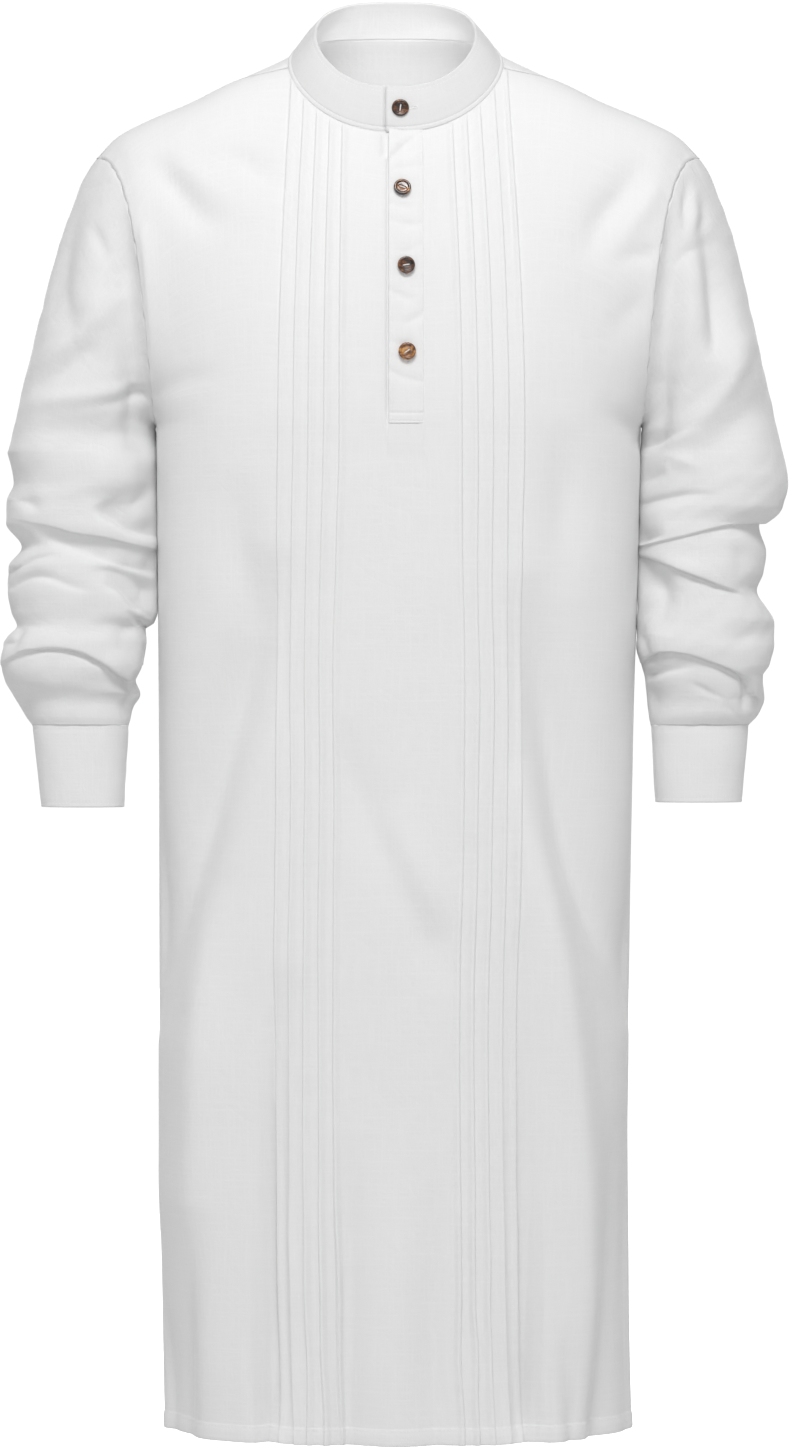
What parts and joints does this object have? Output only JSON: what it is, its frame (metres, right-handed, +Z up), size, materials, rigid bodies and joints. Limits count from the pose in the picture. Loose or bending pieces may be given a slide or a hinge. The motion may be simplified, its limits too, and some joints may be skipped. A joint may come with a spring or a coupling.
{
  "type": "kaftan shirt",
  "caption": "Long loose tunic shirt, filled out as worn, with a stand collar, a half placket of horn buttons, pintucks down the front, and long sleeves gathered on the forearm into plain cuffs.",
  "frame": {"origin": "Between the two points where the shoulder seams meet the collar, inside the neck opening, where a wearer's neck and shoulders hold the shirt up.", "axes": "+Z up, -Y the front of the shirt, +X the wearer's left."},
  "size_m": [0.6508, 0.2392, 1.1891],
  "materials": {
    "cotton": "matt plain-weave cotton and linen, white, softly creased",
    "horn": "polished mottled horn, dark brown and amber"
  },
  "bodies": {
    "root": {"front_panel": "cotton", "back_panel": "cotton", "placket_over": "cotton", "placket_under": "cotton", "collar": "cotton", "sleeve_left": "cotton", "sleeve_right": "cotton", "cuff_left": "cotton", "cuff_right": "cotton", "button_1": "horn", "button_2": "horn", "button_3": "horn", "button_4": "horn"}
  },
  "joints": []
}
